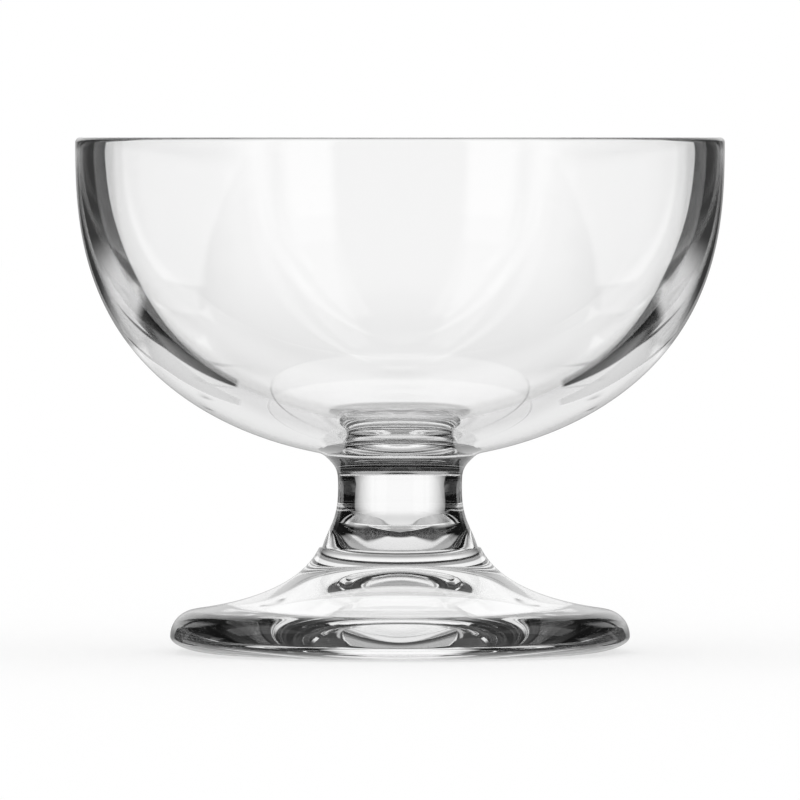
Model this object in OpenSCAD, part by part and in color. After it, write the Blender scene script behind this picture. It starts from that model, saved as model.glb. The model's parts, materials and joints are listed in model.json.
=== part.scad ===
// Footed dessert glass of clear pressed glass, also called a parfait glass.
// Three pieces stand on one axis and are joined hot, face to face: the open bowl, the short waisted
// stem and the flared foot with its hollow underside. Each piece is one outline turned about the axis.
// The origin is the middle of the standing plane, and +Z runs up the axis of the glass.

/* [Bowl] */
// Outside diameter of the bowl at its rim
rim_d = 108; // [90:0.5:130]
// Height of the bowl, from its seam on the stem up to the rim
bowl_h = 53.7; // [42:0.1:75]
// Fullness of the outside curve: 2 is an ellipse, and more is squarer
bowl_fullness = 2.7; // [2.2:0.05:3.4]
// Thickness of the wall at the rim
rim_wall = 3; // [2:0.1:5]
// Thickness of the glass in the middle of the floor, down to the seam
floor_wall = 5.2; // [3.6:0.1:12]
// Fullness of the inside curve: 2 is an ellipse, and more is squarer
well_fullness = 2.5; // [2:0.05:3]
// Radius of the fire-polished rounding on both edges of the rim
rim_round = 0.8; // [0.2:0.05:0.95]
// How far the fillet on the seam runs out under the bowl
neck_flare = 2.2; // [0.8:0.1:5]

/* [Stem] */
// Height of the stem, from seam to seam
stem_h = 14.5; // [10:0.1:60]
// Diameter of the seam between the bowl and the stem
neck_d = 23.4; // [21:0.1:32]
// Lean of the stem's side at the upper seam, in degrees from upright
neck_lean = 45; // [20:1:60]
// Diameter of the stem at its waist
waist_d = 20.6; // [14:0.1:23]
// Distance of the waist below the upper seam
waist_drop = 4.5; // [3:0.1:8]
// Diameter of the stem at the lower seam
base_d = 25.9; // [22:0.1:36]
// Lean of the stem's side at the lower seam, in degrees from upright
base_lean = 17; // [5:1:40]

/* [Foot] */
// Diameter of the foot
foot_d = 76.5; // [66:0.5:90]
// Height of the foot, from the standing plane to the lower seam
foot_h = 17.4; // [14:0.1:22]
// Step from the side of the stem out to the collar of the foot
collar_step = 0.5; // [0.2:0.05:2]
// Lean of the foot's side at the collar, in degrees from upright
collar_lean = 26; // [15:1:40]
// Fall of the top of the foot towards its edge, in degrees from level
top_fall = 8; // [3:1:15]
// Radius of the upper half of the foot's rounded edge
edge_top_r = 4.4; // [3:0.1:6]
// Height of the widest place of the foot's edge above the standing plane
edge_low_h = 2.7; // [2:0.1:4]
// Width of the curve under the edge, from the widest place in to the standing ring
edge_low_w = 8; // [5:0.1:10]
// Width of the flat ring that the glass stands on
ring_w = 2.4; // [2:0.1:6]
// Thickness of the glass between the lower seam and the top of the hollow
crown_wall = 7.5; // [6:0.1:9]
// Roundness of the hollow's crown: 1 is a point, and 2 is a dome
crown_round = 1.75; // [1.4:0.05:2]
// Flare of the hollow's foot, where it runs out to the ring: 1 is a sharp corner, and 2 is a bell
bell_flare = 1.8; // [1.6:0.05:2.2]

/* [Hidden] */

// Flat pieces of an outline along each long curve, each short curve and each rounding
long_steps = 48;
short_steps = 16;
round_steps = 8;
// Sides of the turned solids
turn_sides = 144;
$fn = turn_sides;

// Radii of the rim, the two seams, the collar and the foot
rim_r = rim_d / 2;
neck_r = neck_d / 2;
waist_r = waist_d / 2;
base_r = base_d / 2;
collar_r = base_r + collar_step;
foot_r = foot_d / 2;

// Mouth and depth of the bowl's inside
mouth_r = rim_r - rim_wall;
well_h = bowl_h - floor_wall;

// Middles of the two curves of the foot's edge, inner edge of the standing ring, and height of the hollow
edge_top_c = [foot_r - edge_top_r, edge_low_h];
edge_low_c = [foot_r - edge_low_w, edge_low_h];
hollow_r = foot_r - edge_low_w - ring_w;
hollow_h = foot_h - crown_wall;

// Heights of the two seams above the standing plane
lower_seam = foot_h;
upper_seam = foot_h + stem_h;

// How far each handle of a curve reaches, as a share of the stretch that it bends
waist_pull = 0.55;
seam_pull = 0.4;
fillet_pull = 0.5;
collar_pull = 0.55;
top_pull = 0.57;

// Point of a round arc about c, with a in degrees from level
function on_arc(c, r, a) = c + r * [cos(a), sin(a)];

// Points of a round arc about c from angle a0 to angle a1, after its first, which ends the stretch before
function arc(c, r, a0, a1, steps) =
    [for (i = [1:steps]) on_arc(c, r, a0 + (a1 - a0) * i / steps)];

// Point of a curve from p0 to p3 with handles p1 and p2
function on_curve(p0, p1, p2, p3, t) =
    pow(1 - t, 3) * p0 + 3 * t * pow(1 - t, 2) * p1 + 3 * t * t * (1 - t) * p2 + pow(t, 3) * p3;

// Points of that curve after its first
function curve(p0, p1, p2, p3, steps) =
    [for (i = [1:steps]) on_curve(p0, p1, p2, p3, i / steps)];

// Point of a cup wall of depth h below a rim of radius r at height top: a is 0 at the rim, 90 at the bottom
function on_cup(r, h, top, fullness, a) = [r * cos(a), top - h * pow(sin(a), 2 / fullness)];

// Angle of a cup wall at depth d below its rim
function cup_angle_at_depth(h, fullness, d) = asin(pow(d / h, fullness / 2));

// Slope of a cup wall at angle a, as a unit vector that points down along it
function cup_slope(r, h, fullness, a) =
    let (v = [-r * sin(a), -h * (2 / fullness) * pow(sin(a), 2 / fullness - 1) * cos(a)])
    v / norm(v);

// Points of a cup wall from angle a0 to angle a1, after its first
function cup(r, h, top, fullness, a0, a1, steps) =
    [for (i = [1:steps]) on_cup(r, h, top, fullness, a0 + (a1 - a0) * i / steps)];

// Points of the quarter oval about c, w wide and h high, from its side down to its bottom, after its first
function under_curve(c, w, h, steps) =
    [for (i = [1:steps])
        let (a = 90 * i / steps)
        c + [w * cos(a), -h * sin(a)]];

// Points of a bell-shaped hollow from its edge, of radius r on the standing plane, to its crown at height h
function hollow(r, h, crown, flare, steps) =
    [for (i = [0:steps])
        let (s = 1 - i / steps)
        [r * s, h * pow(1 - pow(s, crown), flare)]];

// Solid turned from a closed outline of [radius, height] points
module turned(outline) {
    rotate_extrude() polygon(outline);
}

// Open cup whose wall thickens from the rim to the floor, with a fillet down to the seam
module bowl() {
    outer_a0 = cup_angle_at_depth(bowl_h, bowl_fullness, rim_round);
    inner_a0 = cup_angle_at_depth(well_h, well_fullness, rim_round);
    outer_a1 = acos((neck_r + neck_flare) / rim_r);
    inner_top = on_cup(mouth_r, well_h, bowl_h, well_fullness, inner_a0);
    outer_top = on_cup(rim_r, bowl_h, bowl_h, bowl_fullness, outer_a0);
    fillet_end = on_cup(rim_r, bowl_h, bowl_h, bowl_fullness, outer_a1);
    fillet_aim = cup_slope(rim_r, bowl_h, bowl_fullness, outer_a1);
    seam_edge = [neck_r, 0];
    outline = concat(
        [[0, 0], seam_edge],
        curve(
            seam_edge,
            seam_edge + fillet_pull * neck_flare * [sin(neck_lean), cos(neck_lean)],
            fillet_end + fillet_pull * neck_flare * fillet_aim,
            fillet_end,
            round_steps
        ),
        cup(rim_r, bowl_h, bowl_h, bowl_fullness, outer_a1, outer_a0, long_steps),
        arc(outer_top - [rim_round, 0], rim_round, 0, 90, round_steps),
        [inner_top + [rim_round, rim_round]],
        arc(inner_top + [rim_round, 0], rim_round, 90, 180, round_steps),
        cup(mouth_r, well_h, bowl_h, well_fullness, inner_a0, 90, long_steps)
    );
    color("azure", 0.5)
        translate([0, 0, upper_seam])
            turned(outline);
}

// Solid stem, drawn in to a waist under the bowl
module stem() {
    top = [neck_r, stem_h];
    waist = [waist_r, stem_h - waist_drop];
    foot_end = [base_r, 0];
    rise = stem_h - waist_drop;
    outline = concat(
        [[0, 0], foot_end],
        curve(
            foot_end,
            foot_end + seam_pull * rise * [-sin(base_lean), cos(base_lean)],
            waist - [0, waist_pull * rise],
            waist,
            short_steps
        ),
        curve(
            waist,
            waist + [0, waist_pull * waist_drop],
            top - seam_pull * waist_drop * [sin(neck_lean), cos(neck_lean)],
            top,
            short_steps
        ),
        [[0, stem_h]]
    );
    color("lightcyan", 0.5)
        translate([0, 0, lower_seam])
            turned(outline);
}

// Flared foot with a collar, a rounded edge, a flat standing ring and a bell-shaped hollow underneath
module foot() {
    collar = [collar_r, foot_h];
    edge_top = on_arc(edge_top_c, edge_top_r, 90 - top_fall);
    drop = collar[1] - edge_top[1];
    spread = edge_top[0] - collar[0];
    outline = concat(
        [[0, foot_h], collar],
        curve(
            collar,
            collar + collar_pull * drop * [sin(collar_lean), -cos(collar_lean)],
            edge_top + top_pull * spread * [-cos(top_fall), sin(top_fall)],
            edge_top,
            short_steps
        ),
        arc(edge_top_c, edge_top_r, 90 - top_fall, 0, round_steps),
        under_curve(edge_low_c, edge_low_w, edge_low_h, round_steps),
        hollow(hollow_r, hollow_h, crown_round, bell_flare, long_steps)
    );
    color("lightcyan", 0.5)
        turned(outline);
}

bowl();
stem();
foot();
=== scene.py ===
"""Footed dessert glass of clear pressed glass, standing in a white studio.

The bowl, the stem and the foot are outlines turned about the axis of the glass. They replace the plain
solids of the same names, seam on seam, with finer and smooth surfaces that bend light as the real glass
does.
"""
import json
import logging
import math
from dataclasses import dataclass, field
from enum import Enum
from typing import Any

import bpy
from mathutils import Matrix, Vector

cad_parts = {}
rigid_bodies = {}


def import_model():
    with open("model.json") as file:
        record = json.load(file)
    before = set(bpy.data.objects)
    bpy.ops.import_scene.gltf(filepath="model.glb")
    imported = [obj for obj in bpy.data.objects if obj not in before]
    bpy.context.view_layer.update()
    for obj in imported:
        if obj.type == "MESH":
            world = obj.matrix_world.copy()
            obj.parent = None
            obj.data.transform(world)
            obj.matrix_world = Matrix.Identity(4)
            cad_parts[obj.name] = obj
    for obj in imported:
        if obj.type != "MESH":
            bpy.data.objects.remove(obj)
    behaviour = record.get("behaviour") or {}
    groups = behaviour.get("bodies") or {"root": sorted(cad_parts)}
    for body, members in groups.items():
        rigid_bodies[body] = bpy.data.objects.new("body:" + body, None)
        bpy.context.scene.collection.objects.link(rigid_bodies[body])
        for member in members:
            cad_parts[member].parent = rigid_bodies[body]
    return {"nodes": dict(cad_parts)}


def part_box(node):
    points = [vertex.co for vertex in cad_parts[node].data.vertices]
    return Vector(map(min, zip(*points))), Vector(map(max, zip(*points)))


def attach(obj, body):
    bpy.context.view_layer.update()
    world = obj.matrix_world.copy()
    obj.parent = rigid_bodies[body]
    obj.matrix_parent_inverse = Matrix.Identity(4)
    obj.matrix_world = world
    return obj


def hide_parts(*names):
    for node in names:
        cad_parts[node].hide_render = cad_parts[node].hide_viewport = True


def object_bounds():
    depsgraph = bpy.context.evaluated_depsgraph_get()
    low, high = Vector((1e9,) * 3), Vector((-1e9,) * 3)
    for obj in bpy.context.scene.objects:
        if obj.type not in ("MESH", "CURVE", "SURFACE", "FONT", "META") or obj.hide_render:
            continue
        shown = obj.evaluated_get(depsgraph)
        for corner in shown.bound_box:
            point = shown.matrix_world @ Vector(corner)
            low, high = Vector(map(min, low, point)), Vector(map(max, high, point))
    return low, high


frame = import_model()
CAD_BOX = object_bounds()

LOG = logging.getLogger("dessert_glass")
MM = 0.001
BODY = "root"

# Stretches of an outline along each long curve, each short curve and each rounding
LONG_STEPS = 96
SHORT_STEPS = 32
ROUND_STEPS = 10
# Sides of a turned piece
SIDES = 256

# Brightness of a matt black card and of the white that the picture shows
BLACK = 0.005
WHITE = 1.0
WHITE_PAINT = "ffffff"

# Azimuths and elevations past the ends of their range, for a panel that runs on to the end
BEHIND = -9
FRONT = 200
BELOW = -99
ABOVE = 99

Tree = bpy.types.NodeTree
Outline = list[Vector]


def linear(hex_colour: str) -> tuple[float, float, float, float]:
    """Turns an sRGB colour into the linear values that shaders take.

    Args:
        hex_colour: Six hexadecimal digits.

    Returns:
        Linear red, green and blue, with an alpha of 1.
    """
    parts = [int(hex_colour[i:i + 2], 16) / 255 for i in (0, 2, 4)]
    r, g, b = (c / 12.92 if c <= 0.04045 else ((c + 0.055) / 1.055) ** 2.4 for c in parts)
    return r, g, b, 1.0


def add(tree: Tree, kind: str, inputs: dict[Any, Any] | None = None, **settings: Any) -> bpy.types.Node:
    """Adds a node with its settings, its values and its links.

    Args:
        tree: Tree that gets the node.
        kind: Blender's type name of the node.
        inputs: Socket to link or value to set, by the input's name or number.
        settings: Properties of the node.

    Returns:
        The new node.
    """
    node = tree.nodes.new(kind)
    for name, value in settings.items():
        setattr(node, name, value)
    for key, value in (inputs or {}).items():
        if isinstance(value, bpy.types.NodeSocket):
            tree.links.new(value, node.inputs[key])
        else:
            node.inputs[key].default_value = value
    return node


def new_material(name: str) -> bpy.types.Material:
    """Makes a material with an empty tree.

    Args:
        name: Name of the material.

    Returns:
        The new material.
    """
    material = bpy.data.materials.new(name)
    material.use_nodes = True
    material.node_tree.nodes.clear()
    return material


def new_object(name: str, mesh: bpy.types.Mesh) -> bpy.types.Object:
    """Links a new object at the origin.

    Args:
        name: Name of the object.
        mesh: Its mesh, already in place.

    Returns:
        The new object.
    """
    piece = bpy.data.objects.new(name, mesh)
    bpy.context.scene.collection.objects.link(piece)
    return piece


def arc(centre: Vector, radius: float, start: float, end: float) -> Outline:
    """Points of a round arc after its first, where the stretch before it ends.

    Args:
        centre: Middle of the arc.
        radius: Radius of the arc.
        start: Angle of its first point, in degrees from level.
        end: Angle of its last point.

    Returns:
        The points.
    """
    turns = [math.radians(start + (end - start) * i / ROUND_STEPS) for i in range(1, ROUND_STEPS + 1)]
    return [centre + radius * Vector((math.cos(a), math.sin(a))) for a in turns]


def curve(p0: Vector, p1: Vector, p2: Vector, p3: Vector) -> Outline:
    """Points of a curve after its first.

    Args:
        p0: Start of the curve.
        p1: Handle at the start.
        p2: Handle at the end.
        p3: End of the curve.

    Returns:
        The points.
    """
    shares = [i / SHORT_STEPS for i in range(1, SHORT_STEPS + 1)]
    return [
        (1 - t) ** 3 * p0 + 3 * t * (1 - t) ** 2 * p1 + 3 * t ** 2 * (1 - t) * p2 + t ** 3 * p3
        for t in shares
    ]


def leaning(degrees: float) -> Vector:
    """Unit vector that leans out from upright by an angle in degrees."""
    return Vector((math.sin(math.radians(degrees)), math.cos(math.radians(degrees))))


def box_radius(node: str) -> float:
    """Radius of a round CAD node about the axis, from its box."""
    low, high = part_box(node)
    return min(high[0], high[1], -low[0], -low[1])


@dataclass(frozen=True)
class Cup:
    """Wall of a cup that is upright at its rim and level at its bottom.

    Attributes:
        radius: Radius of the rim.
        depth: Depth below the rim.
        top: Height of the rim.
        fullness: 2 for an ellipse, and more for a squarer wall.
    """

    radius: float
    depth: float
    top: float
    fullness: float

    def at(self, a: float) -> Vector:
        """Point at an angle that is 0 at the rim and a quarter turn at the bottom."""
        drop = self.depth * math.sin(a) ** (2 / self.fullness)
        return Vector((self.radius * math.cos(a), self.top - drop))

    def angle_at_depth(self, depth: float) -> float:
        """Angle at a depth below the rim."""
        return math.asin((depth / self.depth) ** (self.fullness / 2))

    def angle_at_radius(self, radius: float) -> float:
        """Angle at a distance from the axis."""
        return math.acos(radius / self.radius)

    def slope(self, a: float) -> Vector:
        """Unit vector down along the wall at an angle."""
        p = 2 / self.fullness
        fall = Vector((-self.radius * math.sin(a), -self.depth * p * math.sin(a) ** (p - 1) * math.cos(a)))
        return fall.normalized()

    def wall(self, start: float, end: float) -> Outline:
        """Points of the wall after its first.

        Args:
            start: Angle of the first point.
            end: Angle of the last point.

        Returns:
            The points.
        """
        return [self.at(start + (end - start) * i / LONG_STEPS) for i in range(1, LONG_STEPS + 1)]


@dataclass(frozen=True)
class PressedGlass:
    """Clear soda-lime glass, pressed in a mould and fire-polished.

    The eye sees a bright, nearly colourless body, dark where it bends light from beside the studio's
    backdrop. The edges of those darks are soft, because the mould leaves a faint ripple that the flame
    doesn't quite level.

    Attributes:
        tint: Colour of the glass, a trace of grey.
        ior: Index of refraction of soda-lime glass.
        polish: Roughness of the fire-polished surface, least and most.
        ripple: Wavelength of the mould's ripple.
        ripple_height: Height of the ripple.
        cloud: Size of the duller patches that cooling leaves.
    """

    tint: str = "fefefe"
    ior: float = 1.52
    polish: tuple[float, float] = (0.0, 0.03)
    ripple: float = 9 * MM
    ripple_height: float = 0.004 * MM
    cloud: float = 14 * MM

    def make(self) -> bpy.types.Material:
        """Builds the material."""
        material = new_material("soda_lime_glass_pressed_fire_polished")
        tree = material.node_tree
        where = add(tree, "ShaderNodeTexCoord").outputs["Object"]
        cloud = add(tree, "ShaderNodeTexNoise", {"Vector": where, "Scale": 1 / self.cloud, "Detail": 1.0})
        dull = add(
            tree,
            "ShaderNodeMapRange",
            {"Value": cloud.outputs["Fac"], "To Min": self.polish[0], "To Max": self.polish[1]},
        )
        wave = add(tree, "ShaderNodeTexNoise", {"Vector": where, "Scale": 1 / self.ripple, "Detail": 0.0})
        bump = add(
            tree,
            "ShaderNodeBump",
            {"Strength": 1.0, "Distance": self.ripple_height, "Height": wave.outputs["Fac"]},
        )
        glass = add(
            tree,
            "ShaderNodeBsdfPrincipled",
            {
                "Base Color": linear(self.tint),
                "IOR": self.ior,
                "Transmission Weight": 1.0,
                "Roughness": dull.outputs["Result"],
                "Normal": bump.outputs["Normal"],
            },
        )
        add(tree, "ShaderNodeOutputMaterial", {"Surface": glass.outputs["BSDF"]})
        return material


@dataclass(frozen=True)
class HotSeam:
    """Fused face between two pieces of soda-lime glass, joined hot.

    The glass runs on through it, so light passes straight on and the eye sees nothing there.

    Attributes:
        tint: Colour of the light that passes.
    """

    tint: str = WHITE_PAINT

    def make(self) -> bpy.types.Material:
        """Builds the material."""
        material = new_material("hot_joined_glass_seam")
        tree = material.node_tree
        clear = add(tree, "ShaderNodeBsdfTransparent", {"Color": linear(self.tint)})
        add(tree, "ShaderNodeOutputMaterial", {"Surface": clear.outputs["BSDF"]})
        return material


class Lathe:
    """Geometry Nodes tree that turns an outline about the axis and closes it.

    Attributes:
        SEAM: Name of the mark that is 1 on a fused face and 0 on an open one.
        FUSED: Least mean mark of a face whose corners all lie on a fused face.
        MERGE: Distance under which points are one.
        CREASE: Least angle between faces at which their edge stays sharp.
        tree: The tree.
        ids: Identifier of each named input.
    """

    SEAM = "seam"
    FUSED = 0.99
    MERGE = 0.001 * MM
    CREASE = math.radians(30)

    def __init__(self) -> None:
        """Builds the tree."""
        self.tree = bpy.data.node_groups.new("turned_outline", "GeometryNodeTree")
        face = self.tree.interface
        face.new_socket("Outline", in_out="INPUT", socket_type="NodeSocketGeometry")
        self.ids: dict[str, str] = {}
        for name, kind in (
            ("Points", "NodeSocketInt"),
            ("Sides", "NodeSocketInt"),
            ("Glass", "NodeSocketMaterial"),
            ("Seam", "NodeSocketMaterial"),
        ):
            self.ids[name] = face.new_socket(name, in_out="INPUT", socket_type=kind).identifier
        face.new_socket("Piece", in_out="OUTPUT", socket_type="NodeSocketGeometry")
        self._wire()

    def _wire(self) -> None:
        """Adds the nodes: a grid of points by sides, rolled up, merged, smoothed and dressed."""
        tree = self.tree
        given = add(tree, "NodeGroupInput").outputs
        columns = add(tree, "ShaderNodeMath", {0: given["Sides"], 1: 1.0}, operation="ADD").outputs[0]
        grid = add(tree, "GeometryNodeMeshGrid", {"Vertices X": given["Points"], "Vertices Y": columns})
        index = add(tree, "GeometryNodeInputIndex").outputs[0]
        share = add(tree, "ShaderNodeMath", {0: index, 1: columns}, operation="DIVIDE").outputs[0]
        row = add(tree, "ShaderNodeMath", {0: share}, operation="FLOOR").outputs[0]
        column = add(tree, "ShaderNodeMath", {0: index, 1: columns}, operation="FLOORED_MODULO").outputs[0]
        side = add(tree, "ShaderNodeMath", {0: column, 1: given["Sides"]}, operation="DIVIDE").outputs[0]
        angle = add(tree, "ShaderNodeMath", {0: side, 1: math.tau}, operation="MULTIPLY").outputs[0]
        place = add(tree, "GeometryNodeInputPosition").outputs[0]
        point = add(
            tree,
            "GeometryNodeSampleIndex",
            {"Geometry": given["Outline"], "Value": place, "Index": row},
            data_type="FLOAT_VECTOR",
        )
        part = add(tree, "ShaderNodeSeparateXYZ", {0: point.outputs["Value"]}).outputs
        cos = add(tree, "ShaderNodeMath", {0: angle}, operation="COSINE").outputs[0]
        sin = add(tree, "ShaderNodeMath", {0: angle}, operation="SINE").outputs[0]
        x = add(tree, "ShaderNodeMath", {0: part["X"], 1: cos}, operation="MULTIPLY").outputs[0]
        y = add(tree, "ShaderNodeMath", {0: part["X"], 1: sin}, operation="MULTIPLY").outputs[0]
        rolled = add(tree, "ShaderNodeCombineXYZ", {"X": x, "Y": y, "Z": part["Z"]}).outputs[0]
        mark = add(tree, "GeometryNodeInputNamedAttribute", {"Name": self.SEAM}, data_type="FLOAT")
        marked = add(
            tree,
            "GeometryNodeSampleIndex",
            {"Geometry": given["Outline"], "Value": mark.outputs["Attribute"], "Index": row},
            data_type="FLOAT",
        )
        kept = add(
            tree,
            "GeometryNodeStoreNamedAttribute",
            {"Geometry": grid.outputs["Mesh"], "Name": self.SEAM, "Value": marked.outputs["Value"]},
            data_type="FLOAT",
            domain="POINT",
        )
        placed = add(tree, "GeometryNodeSetPosition", {"Geometry": kept.outputs[0], "Position": rolled})
        closed = add(
            tree, "GeometryNodeMergeByDistance", {"Geometry": placed.outputs[0], "Distance": self.MERGE}
        )
        outward = add(tree, "GeometryNodeFlipFaces", {"Mesh": closed.outputs[0]})
        smooth = add(
            tree,
            "GeometryNodeSetShadeSmooth",
            {"Geometry": outward.outputs[0], "Shade Smooth": True},
            domain="FACE",
        )
        bend = add(tree, "GeometryNodeInputMeshEdgeAngle").outputs["Unsigned Angle"]
        sharp = add(tree, "FunctionNodeCompare", {"A": bend, "B": self.CREASE}, operation="GREATER_THAN")
        creased = add(
            tree,
            "GeometryNodeSetShadeSmooth",
            {"Geometry": smooth.outputs[0], "Selection": sharp.outputs[0], "Shade Smooth": False},
            domain="EDGE",
        )
        real = add(tree, "GeometryNodeRealizeInstances", {"Geometry": creased.outputs[0]})
        glazed = add(
            tree, "GeometryNodeSetMaterial", {"Geometry": real.outputs[0], "Material": given["Glass"]}
        )
        seam = add(tree, "GeometryNodeInputNamedAttribute", {"Name": self.SEAM}, data_type="FLOAT")
        fused = add(
            tree,
            "FunctionNodeCompare",
            {"A": seam.outputs["Attribute"], "B": self.FUSED},
            operation="GREATER_THAN",
        )
        dressed = add(
            tree,
            "GeometryNodeSetMaterial",
            {"Geometry": glazed.outputs[0], "Selection": fused.outputs[0], "Material": given["Seam"]},
        )
        add(tree, "NodeGroupOutput", {"Piece": dressed.outputs[0]})

    def turn(
        self,
        name: str,
        outline: Outline,
        seams: list[bool],
        glass: bpy.types.Material,
        seam: bpy.types.Material,
    ) -> bpy.types.Object:
        """Turns an outline into a closed piece.

        Args:
            name: Name of the piece.
            outline: Points as radius and height, from the lower point on the axis round to the upper one.
            seams: For each point, whether it lies on a fused face.
            glass: Material of the open faces.
            seam: Material of the fused faces.

        Returns:
            The piece, a plain mesh at the origin.
        """
        mesh = bpy.data.meshes.new(f"{name}_outline")
        links = [(i, i + 1) for i in range(len(outline) - 1)]
        mesh.from_pydata([(p.x, 0.0, p.y) for p in outline], links, [])
        marks = mesh.attributes.new(self.SEAM, "FLOAT", "POINT")
        marks.data.foreach_set("value", [float(s) for s in seams])
        blank = new_object(f"{name}_outline", mesh)
        modifier = blank.modifiers.new("turn", "NODES")
        modifier.node_group = self.tree
        values = {"Points": len(outline), "Sides": SIDES, "Glass": glass, "Seam": seam}
        for key, value in values.items():
            modifier[self.ids[key]] = value
        turned = blank.evaluated_get(bpy.context.evaluated_depsgraph_get())
        result = bpy.data.meshes.new_from_object(turned)
        result.name = name
        result.materials.pop(index=list(result.materials).index(None))
        blank.modifiers.remove(modifier)
        bpy.data.objects.remove(blank)
        bpy.data.meshes.remove(mesh)
        return new_object(name, result)


@dataclass(frozen=True)
class Neck:
    """Seam between the bowl and the stem.

    Attributes:
        radius: Radius of the seam.
        lean: Lean of the glass's side there, in degrees from upright.
    """

    radius: float = 11.7 * MM
    lean: float = 45.0


@dataclass
class Bowl:
    """Open bowl whose wall thickens from the rim to the floor.

    Attributes:
        neck: Seam on the stem.
        fullness: Fullness of the outside curve.
        rim_wall: Thickness of the wall at the rim.
        floor_wall: Thickness of the glass in the middle of the floor.
        well_fullness: Fullness of the inside curve.
        rim_round: Radius of the rounding on both edges of the rim.
        neck_flare: How far the fillet on the seam runs out under the bowl.
        fillet_pull: Reach of the fillet's handles, as a share of the flare.
    """

    neck: Neck = field(default_factory=Neck)
    fullness: float = 2.7
    rim_wall: float = 3 * MM
    floor_wall: float = 5.2 * MM
    well_fullness: float = 2.5
    rim_round: float = 0.8 * MM
    neck_flare: float = 2.2 * MM
    fillet_pull: float = 0.5

    def outline(self) -> Outline:
        """Outline from the middle of the seam round the rim to the middle of the floor."""
        low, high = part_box("bowl")
        radius = box_radius("bowl")
        outer = Cup(radius, high[2] - low[2], high[2], self.fullness)
        well = Cup(radius - self.rim_wall, outer.depth - self.floor_wall, high[2], self.well_fullness)
        outer_top = outer.angle_at_depth(self.rim_round)
        well_top = well.angle_at_depth(self.rim_round)
        fillet_top = outer.angle_at_radius(self.neck.radius + self.neck_flare)
        edge = Vector((self.neck.radius, low[2]))
        reach = self.fillet_pull * self.neck_flare
        inward = Vector((self.rim_round, 0.0))
        upward = Vector((0.0, self.rim_round))
        return [
            Vector((0.0, low[2])),
            edge,
            *curve(
                edge,
                edge + reach * leaning(self.neck.lean),
                outer.at(fillet_top) + reach * outer.slope(fillet_top),
                outer.at(fillet_top),
            ),
            *outer.wall(fillet_top, outer_top),
            *arc(outer.at(outer_top) - inward, self.rim_round, 0, 90),
            well.at(well_top) + inward + upward,
            *arc(well.at(well_top) + inward, self.rim_round, 90, 180),
            *well.wall(well_top, math.pi / 2),
        ]


@dataclass
class Stem:
    """Short solid stem, drawn in to a waist under the bowl.

    Attributes:
        neck: Seam under the bowl.
        waist_radius: Radius of the waist.
        waist_drop: Distance of the waist below the upper seam.
        base_lean: Lean of the stem's side at the lower seam, in degrees from upright.
        waist_pull: Reach of the handles at the waist, as a share of the stretch that they bend.
        seam_pull: Reach of the handles at the seams, as a share of the stretch that they bend.
    """

    neck: Neck = field(default_factory=Neck)
    waist_radius: float = 10.3 * MM
    waist_drop: float = 4.5 * MM
    base_lean: float = 17.0
    waist_pull: float = 0.55
    seam_pull: float = 0.4

    def outline(self) -> Outline:
        """Outline from the middle of the lower seam to the middle of the upper one."""
        low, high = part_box("stem")
        base = Vector((box_radius("stem"), low[2]))
        top = Vector((self.neck.radius, high[2]))
        waist = Vector((self.waist_radius, high[2] - self.waist_drop))
        rise = waist.y - base.y
        up = Vector((0.0, 1.0))
        return [
            Vector((0.0, low[2])),
            base,
            *curve(
                base,
                base + self.seam_pull * rise * leaning(-self.base_lean),
                waist - self.waist_pull * rise * up,
                waist,
            ),
            *curve(
                waist,
                waist + self.waist_pull * self.waist_drop * up,
                top - self.seam_pull * self.waist_drop * leaning(self.neck.lean),
                top,
            ),
            Vector((0.0, high[2])),
        ]


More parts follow.
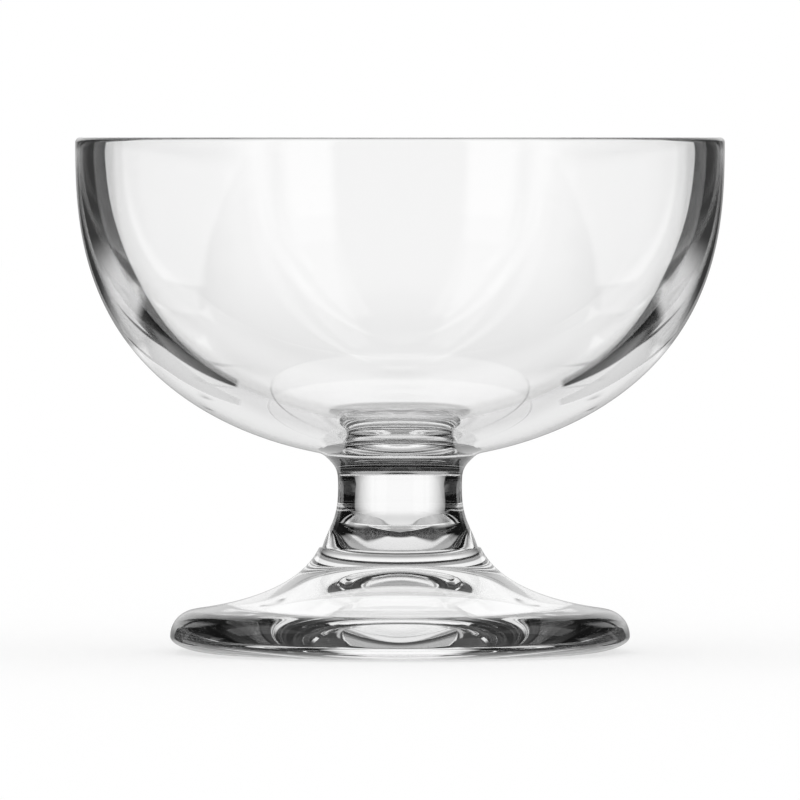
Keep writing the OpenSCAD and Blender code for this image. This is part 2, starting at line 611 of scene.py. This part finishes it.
@dataclass
class Foot:
    """Flared foot with a collar, a rounded edge, a flat standing ring and a bell-shaped hollow underneath.

    Attributes:
        collar_step: Step from the side of the stem out to the collar.
        collar_lean: Lean of the foot's side at the collar, in degrees from upright.
        top_fall: Fall of the top towards the edge, in degrees from level.
        edge_top_radius: Radius of the upper half of the edge.
        edge_height: Height of the widest place of the edge.
        under_width: Width of the curve under the edge, in to the standing ring.
        ring_width: Width of the standing ring.
        crown_wall: Thickness of the glass between the seam and the top of the hollow.
        crown_round: Roundness of the hollow's crown: 1 for a point, 2 for a dome.
        bell_flare: Flare of the hollow towards the ring: 1 for a sharp corner, 2 for a bell.
        collar_pull: Reach of the handle at the collar, as a share of the drop.
        top_pull: Reach of the handle at the edge, as a share of the spread.
    """

    collar_step: float = 0.5 * MM
    collar_lean: float = 26.0
    top_fall: float = 8.0
    edge_top_radius: float = 4.4 * MM
    edge_height: float = 2.7 * MM
    under_width: float = 8 * MM
    ring_width: float = 2.4 * MM
    crown_wall: float = 7.5 * MM
    crown_round: float = 1.75
    bell_flare: float = 1.8
    collar_pull: float = 0.55
    top_pull: float = 0.57

    def outline(self) -> Outline:
        """Outline from the crown of the hollow round the edge to the middle of the seam."""
        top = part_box("foot")[1][2]
        radius = box_radius("foot")
        seam = Vector((box_radius("stem"), top))
        collar = seam + Vector((self.collar_step, 0.0))
        upper = Vector((radius - self.edge_top_radius, self.edge_height))
        lower = Vector((radius - self.under_width, self.edge_height))
        edge_lean = leaning(self.top_fall)
        edge = upper + self.edge_top_radius * edge_lean
        drop = collar.y - edge.y
        spread = edge.x - collar.x
        return [
            *self.hollow(lower.x - self.ring_width, top - self.crown_wall),
            *self.under_curve(lower),
            *arc(upper, self.edge_top_radius, 0, 90 - self.top_fall),
            *curve(
                edge,
                edge + self.top_pull * spread * Vector((-edge_lean.y, edge_lean.x)),
                collar - self.collar_pull * drop * leaning(-self.collar_lean),
                collar,
            ),
            seam,
            Vector((0.0, top)),
        ]

    def hollow(self, radius: float, height: float) -> Outline:
        """Points of the hollow from its crown to its edge on the standing plane.

        Args:
            radius: Radius of the hollow's edge.
            height: Height of its crown.

        Returns:
            The points.
        """
        shares = [i / LONG_STEPS for i in range(LONG_STEPS + 1)]
        return [
            Vector((radius * s, height * (1 - s ** self.crown_round) ** self.bell_flare)) for s in shares
        ]

    def under_curve(self, centre: Vector) -> Outline:
        """Points of the quarter oval under the edge, from the standing ring out to the widest place.

        Args:
            centre: Middle of the oval.

        Returns:
            The points.
        """
        turns = [math.pi / 2 * i / SHORT_STEPS for i in range(SHORT_STEPS + 1)]
        return [
            centre + Vector((self.under_width * math.sin(a), -self.edge_height * math.cos(a))) for a in turns
        ]


@dataclass
class DessertGlass:
    """The glass: three turned pieces, joined hot at two seams.

    Attributes:
        bowl: The bowl.
        stem: The stem.
        foot: The foot.
        glass: Finish of the open faces.
        seam: Finish of the fused faces.
    """

    bowl: Bowl = field(default_factory=Bowl)
    stem: Stem = field(default_factory=Stem)
    foot: Foot = field(default_factory=Foot)
    glass: PressedGlass = field(default_factory=PressedGlass)
    seam: HotSeam = field(default_factory=HotSeam)

    def build(self) -> None:
        """Makes the three pieces and lets each replace its CAD node."""
        lathe = Lathe()
        glass = self.glass.make()
        seam = self.seam.make()
        heights = [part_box("stem")[0][2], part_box("stem")[1][2]]
        radii = [box_radius("stem"), self.stem.neck.radius]
        for node, part in (("bowl", self.bowl), ("stem", self.stem), ("foot", self.foot)):
            outline = part.outline()
            fused = [
                any(abs(p.y - h) < Lathe.MERGE and p.x < r + Lathe.MERGE for h, r in zip(heights, radii))
                for p in outline
            ]
            piece = lathe.turn(f"{node}_glass", outline, fused, glass, seam)
            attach(piece, BODY)
            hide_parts(node)
            LOG.info("%s: %d faces", piece.name, len(piece.data.polygons))


class Seen(Enum):
    """How the glass brings the studio to the eye, by the least times that it mirrors the light."""

    THROUGH = 0
    MIRRORED = 1
    DEEP = 3
    LOST = 6

    @property
    def threshold(self) -> float:
        """Number half way between the least times and one less, which tells the two apart."""
        return self.value - 1 / 2


@dataclass(frozen=True)
class Panel:
    """Stretch of the studio round the glass, the same on the left and on the right.

    Attributes:
        name: Name of the panel.
        seen: How the glass shows it.
        azimuths: Where it starts and ends, in degrees from straight behind the glass.
        elevations: Its lower and its upper edge, in degrees from level.
        soft: Half the width of its soft edges, in degrees.
        level: Brightness, where 1 is white.
    """

    name: str
    seen: Seen
    azimuths: tuple[float, float]
    elevations: tuple[float, float]
    soft: float
    level: float


class Kind(Enum):
    """Kind of a near card, by how the glass first shows it and how it no longer does."""

    SCREEN = (Seen.THROUGH, Seen.MIRRORED)
    LIGHT = (Seen.MIRRORED, Seen.DEEP)
    FLAG = (Seen.MIRRORED, Seen.LOST)


@dataclass(frozen=True)
class Card:
    """Card that stands upright close beside the glass, the same on the left and on the right.

    Attributes:
        name: Name of the card.
        kind: Kind of the card.
        across: Distance from the middle of the studio, in millimetres.
        corners: Distance behind the axis and height of each corner, in millimetres, clockwise.
        soft: Width of its soft edges, in millimetres.
        level: Brightness, where 1 is white.
    """

    name: str
    kind: Kind
    across: float
    corners: tuple[tuple[float, float], ...]
    soft: float
    level: float


@dataclass
class Studio:
    """White table and backdrop, black cards beside the glass, and strip lights beside the camera.

    Azimuths run from straight behind the glass, as the camera sees it, and lengths from its axis.

    No real studio is like this one: each panel and card shows only to light that the glass has mirrored a
    set number of times, and the glass doesn't see the table. Most places, soft edges and levels of the
    panels and cards are the rounded results of a search which followed light through the outlines and
    compared the bands with the brightness of the photograph. Four panels are given apart from that search:
    camera_side, shade_below, deep_ceiling and last_backdrop.

    Attributes:
        azimuth: Turn of the whole studio about the glass, in degrees.
        distance: Distance of the camera from the axis.
        pixels_per_metre: Scale of the frame at the axis.
        frame_pixels: Width and height of the frame.
        rim_row: Row of the frame on which the rim lies.
        sensor: Width of the camera's sensor, in millimetres.
        reach: Greatest distance that the camera sees.
        floor_radius: Radius of the table.
        floor_sides: Sides of the table's outline.
        floor_shade: Share of the table's white that it owes to the light on it, so that shadows show.
        backdrop: Brightness that reaches the eye straight through the glass.
        surround: Brightness of the studio that the glass only mirrors.
        depths: Brightness of the studio after several mirrorings in the thick glass.
        gloom: Brightness that is left after many mirrorings in the thick edges.
        panels: Cards and lights at a distance, where each covers those before it.
        cards: Cards close to the glass. Each is in front of those before it that show to the same light.
        bounces: Times that light may be bent or mirrored in the glass.
    """

    azimuth: float = 225.0
    distance: float = 1.95
    pixels_per_metre: float = 6013.0
    frame_pixels: int = 800
    rim_row: float = 137.5
    sensor: float = 36.0
    reach: float = 100.0
    floor_radius: float = 6.0
    floor_sides: int = 64
    floor_shade: float = 0.4
    backdrop: float = WHITE
    surround: float = 0.38
    depths: float = 0.04
    gloom: float = 0.04
    panels: tuple[Panel, ...] = (
        Panel("black_sides", Seen.THROUGH, (31, 95), (-70, 29), 14, BLACK),
        Panel("camera_side", Seen.THROUGH, (165, FRONT), (-12, 15), 3, 0.1),
        Panel("table_behind", Seen.THROUGH, (BEHIND, 32), (BELOW, -29), 11, 0.36),
        Panel("black_flank", Seen.MIRRORED, (43, 127), (BELOW, 35), 5, BLACK),
        Panel("pale_table", Seen.MIRRORED, (BEHIND, 46), (BELOW, -8), 5, 0.84),
        Panel("low_corner", Seen.MIRRORED, (31, 53), (BELOW, -44), 5, 0.06),
        Panel("white_backdrop", Seen.MIRRORED, (BEHIND, 45), (3, 41), 5, WHITE),
        Panel("black_ceiling", Seen.MIRRORED, (BEHIND, FRONT), (74, ABOVE), 5, BLACK),
        Panel("grey_front", Seen.MIRRORED, (99, FRONT), (-52, 72), 13, 0.53),
        Panel("narrow_strip", Seen.MIRRORED, (124, 130), (-81, 54), 1.5, WHITE),
        Panel("wide_strip", Seen.MIRRORED, (136, 155), (-72, 26), 1.5, WHITE),
        Panel("shade_below", Seen.MIRRORED, (BEHIND, 60), (BELOW, -73), 3, 0.01),
        Panel("deep_table", Seen.DEEP, (BEHIND, 44), (BELOW, -30), 5, 0.41),
        Panel("deep_backdrop", Seen.DEEP, (BEHIND, 33), (-20, 1), 5, 0.8),
        Panel("deep_flank", Seen.DEEP, (41, 152), (-86, 81), 5, BLACK),
        Panel("deep_ceiling", Seen.DEEP, (BEHIND, 90), (50, ABOVE), 5, BLACK),
        Panel("last_glimmer", Seen.LOST, (BEHIND, 50), (-7, 4), 5, WHITE),
        Panel("last_backdrop", Seen.LOST, (BEHIND, 25), (30, 60), 4, 0.5),
    )
    cards: tuple[Card, ...] = (
        Card("low_card", Kind.SCREEN, 79, ((5, 26), (129, 28), (111, -70), (23, -70)), 6, BLACK),
        Card("high_card", Kind.SCREEN, 78.6, ((29, 115), (104, 112), (132, 20), (4, 38)), 6, BLACK),
        Card("gap_light", Kind.LIGHT, 79, ((67, 39), (140, 31), (150, 13), (52, 23), (50, 37)), 4, WHITE),
        Card("strip_light", Kind.LIGHT, 78.6, ((-83, 79), (-5, 88), (-2, -11), (-9, -3)), 4, 0.96),
        Card("wall_flag", Kind.FLAG, 78.2, ((1, 120), (105, 87), (124, 28), (-7, 45)), 17, 0.04),
        Card("neck_flag", Kind.FLAG, 77.8, ((-7, 37), (31, 62), (9, 8), (-51, 7)), 4, BLACK),
        Card("far_flag", Kind.FLAG, 77.4, ((5, 36), (81, 19), (112, -62), (80, -58)), 6, BLACK),
        Card("near_flag", Kind.FLAG, 58, ((28, 39), (47, 53), (3, -54), (-3, -69)), 4, BLACK),
        Card("stem_flag", Kind.FLAG, 40, ((39, 32), (52, 30), (43, 20), (17, 34)), 6, BLACK),
    )
    bounces: int = 48

    def build(self) -> None:
        """Makes the camera, the light, the table and the cards."""
        scene = bpy.context.scene
        scene.view_settings.view_transform = "Standard"
        cycles = scene.cycles
        cycles.max_bounces = cycles.transmission_bounces = self.bounces
        cycles.glossy_bounces = cycles.transparent_max_bounces = self.bounces
        self.camera()
        self.world()
        self.table()
        for card in self.cards:
            for side in (-1, 1):
                self.card(card, side)

    @property
    def turn(self) -> Matrix:
        """Turn of the studio about the axis of the glass."""
        return Matrix.Rotation(math.radians(self.azimuth), 4, "Z")

    def camera(self) -> None:
        """Makes the camera, level with the rim and tipped down to frame the glass."""
        data = bpy.data.cameras.new("camera")
        focal = self.pixels_per_metre * self.distance
        data.lens = focal / self.frame_pixels * self.sensor
        data.sensor_width = self.sensor
        data.clip_end = self.reach
        tip = math.atan((self.frame_pixels / 2 - self.rim_row) / focal)
        rim_height = CAD_BOX[1][2]
        place = Matrix.Translation((0.0, -self.distance, rim_height))
        camera = bpy.data.objects.new("camera", data)
        camera.matrix_world = self.turn @ place @ Matrix.Rotation(math.pi / 2 - tip, 4, "X")
        bpy.context.scene.collection.objects.link(camera)
        bpy.context.scene.camera = camera

    def world(self) -> None:
        """Makes the surroundings: white to the eye and the table, and the studio's cards to the glass."""
        world = bpy.data.worlds.new("studio")
        bpy.context.scene.world = world
        world.use_nodes = True
        tree = world.node_tree
        tree.nodes.clear()
        ray = add(tree, "ShaderNodeTexCoord").outputs["Generated"]
        turned = add(
            tree,
            "ShaderNodeVectorRotate",
            {"Vector": ray, "Angle": -math.radians(self.azimuth)},
            rotation_type="Z_AXIS",
        )
        part = add(tree, "ShaderNodeSeparateXYZ", {0: turned.outputs[0]}).outputs
        round_by = add(tree, "ShaderNodeMath", {0: part["X"], 1: part["Y"]}, operation="ARCTAN2").outputs[0]
        aside = add(tree, "ShaderNodeMath", {0: round_by}, operation="ABSOLUTE").outputs[0]
        azimuth = add(tree, "ShaderNodeMath", {0: aside}, operation="DEGREES").outputs[0]
        rise = add(tree, "ShaderNodeMath", {0: part["Z"]}, operation="ARCSINE").outputs[0]
        elevation = add(tree, "ShaderNodeMath", {0: rise}, operation="DEGREES").outputs[0]
        level: dict[Seen, Any] = {
            Seen.THROUGH: self.backdrop,
            Seen.MIRRORED: self.surround,
            Seen.DEEP: self.depths,
            Seen.LOST: self.gloom,
        }
        for panel in self.panels:
            mask = self.panel_mask(tree, panel, azimuth, elevation)
            level[panel.seen] = add(
                tree,
                "ShaderNodeMix",
                {0: mask, 2: level[panel.seen], 3: panel.level},
                data_type="FLOAT",
                label=panel.name,
            ).outputs[0]
        path = add(tree, "ShaderNodeLightPath").outputs
        shown: Any = level[Seen.THROUGH]
        for seen in (Seen.MIRRORED, Seen.DEEP, Seen.LOST):
            enough = add(
                tree,
                "ShaderNodeMath",
                {0: path["Glossy Depth"], 1: seen.threshold},
                operation="GREATER_THAN",
            )
            shown = add(
                tree, "ShaderNodeMix", {0: enough.outputs[0], 2: shown, 3: level[seen]}, data_type="FLOAT"
            ).outputs[0]
        in_glass = add(
            tree,
            "ShaderNodeMath",
            {0: path["Is Glossy Ray"], 1: path["Is Transmission Ray"]},
            operation="MAXIMUM",
        )
        strength = add(
            tree, "ShaderNodeMix", {0: in_glass.outputs[0], 2: WHITE, 3: shown}, data_type="FLOAT"
        ).outputs[0]
        white = add(tree, "ShaderNodeBackground", {"Color": linear(WHITE_PAINT), "Strength": strength})
        add(tree, "ShaderNodeOutputWorld", {"Surface": white.outputs[0]})

    def panel_mask(
        self,
        tree: Tree,
        panel: Panel,
        azimuth: bpy.types.NodeSocket,
        elevation: bpy.types.NodeSocket,
    ) -> bpy.types.NodeSocket:
        """Adds the nodes that tell where a panel stands.

        Args:
            tree: The world's tree.
            panel: The panel.
            azimuth: Azimuth of the ray, in degrees.
            elevation: Elevation of the ray, in degrees.

        Returns:
            Socket that is 1 on the panel and 0 beside it.
        """
        start, end = panel.azimuths
        low, high = panel.elevations
        edges = (
            (azimuth, start, 0.0, 1.0),
            (azimuth, end, 1.0, 0.0),
            (elevation, low, 0.0, 1.0),
            (elevation, high, 1.0, 0.0),
        )
        mask: Any = 1.0
        for value, edge, before, after in edges:
            step = add(
                tree,
                "ShaderNodeMapRange",
                {
                    "Value": value,
                    "From Min": edge - panel.soft,
                    "From Max": edge + panel.soft,
                    "To Min": before,
                    "To Max": after,
                },
                interpolation_type="SMOOTHSTEP",
            ).outputs[0]
            mask = add(tree, "ShaderNodeMath", {0: mask, 1: step}, operation="MULTIPLY").outputs[0]
        return mask

    def table(self) -> None:
        """Makes the white table, which the eye and the light see, and the glass doesn't."""
        turns = [math.tau * i / self.floor_sides for i in range(self.floor_sides)]
        rim = [(self.floor_radius * math.cos(a), self.floor_radius * math.sin(a), 0.0) for a in turns]
        mesh = bpy.data.meshes.new("table")
        mesh.from_pydata(rim, [], [range(self.floor_sides)])
        table = new_object("table", mesh)
        table.visible_glossy = table.visible_transmission = False
        material = new_material("matt_white_table")
        tree = material.node_tree
        shade = self.floor_shade
        lit = add(tree, "ShaderNodeBsdfDiffuse", {"Color": (shade, shade, shade, 1.0)})
        seen = add(tree, "ShaderNodeLightPath").outputs["Is Camera Ray"]
        strength = add(tree, "ShaderNodeMath", {0: seen, 1: WHITE - shade}, operation="MULTIPLY").outputs[0]
        glow = add(tree, "ShaderNodeEmission", {"Color": linear(WHITE_PAINT), "Strength": strength})
        both = add(tree, "ShaderNodeAddShader", {0: lit.outputs[0], 1: glow.outputs[0]})
        add(tree, "ShaderNodeOutputMaterial", {"Surface": both.outputs[0]})
        mesh.materials.append(material)

    def card(self, card: Card, side: int) -> None:
        """Makes a near card, which only the glass sees.

        Args:
            card: The card.
            side: -1 for the left of the glass, 1 for the right.
        """
        name = f"{card.name}_{'left' if side < 0 else 'right'}"
        flat = [Vector(corner) * MM for corner in card.corners]
        mesh = bpy.data.meshes.new(name)
        places = [self.turn @ Vector((side * card.across * MM, p.x, p.y)) for p in flat]
        mesh.from_pydata(places, [], [range(len(flat))])
        uv = mesh.uv_layers.new(name="card")
        for loop, place in zip(uv.data, flat):
            loop.uv = place
        piece = new_object(name, mesh)
        piece.visible_camera = piece.visible_diffuse = piece.visible_shadow = False
        material = new_material(f"matt_{card.name}")
        tree = material.node_tree
        where = add(tree, "ShaderNodeUVMap", uv_map="card").outputs[0]
        depth = add(tree, "ShaderNodeLightPath").outputs["Glossy Depth"]
        first, no_longer = card.kind.value
        enough = add(tree, "ShaderNodeMath", {0: depth, 1: first.threshold}, operation="GREATER_THAN")
        few = add(tree, "ShaderNodeMath", {0: depth, 1: no_longer.threshold}, operation="LESS_THAN")
        both = {0: enough.outputs[0], 1: few.outputs[0]}
        mask = add(tree, "ShaderNodeMath", both, operation="MULTIPLY").outputs[0]
        for start, end in zip(flat, flat[1:] + flat[:1]):
            along = (end - start).normalized()
            inward = Vector((along.y, -along.x, 0.0))
            reach = add(tree, "ShaderNodeVectorMath", {0: where, 1: inward}, operation="DOT_PRODUCT")
            edge = inward.x * start.x + inward.y * start.y
            step = add(
                tree,
                "ShaderNodeMapRange",
                {"Value": reach.outputs["Value"], "From Min": edge, "From Max": edge + card.soft * MM},
                interpolation_type="SMOOTHSTEP",
            ).outputs[0]
            mask = add(tree, "ShaderNodeMath", {0: mask, 1: step}, operation="MULTIPLY").outputs[0]
        clear = add(tree, "ShaderNodeBsdfTransparent")
        shown = add(tree, "ShaderNodeEmission", {"Color": linear(WHITE_PAINT), "Strength": card.level})
        mixed = add(tree, "ShaderNodeMixShader", {0: mask, 1: clear.outputs[0], 2: shown.outputs[0]})
        add(tree, "ShaderNodeOutputMaterial", {"Surface": mixed.outputs[0]})
        mesh.materials.append(material)


def main() -> None:
    """Builds the glass and its studio, and reports each piece."""
    logging.basicConfig(level=logging.INFO)
    LOG.info("frame with nodes: %s", ", ".join(sorted(frame["nodes"])))
    DessertGlass().build()
    Studio().build()


if __name__ == "__main__":
    main()
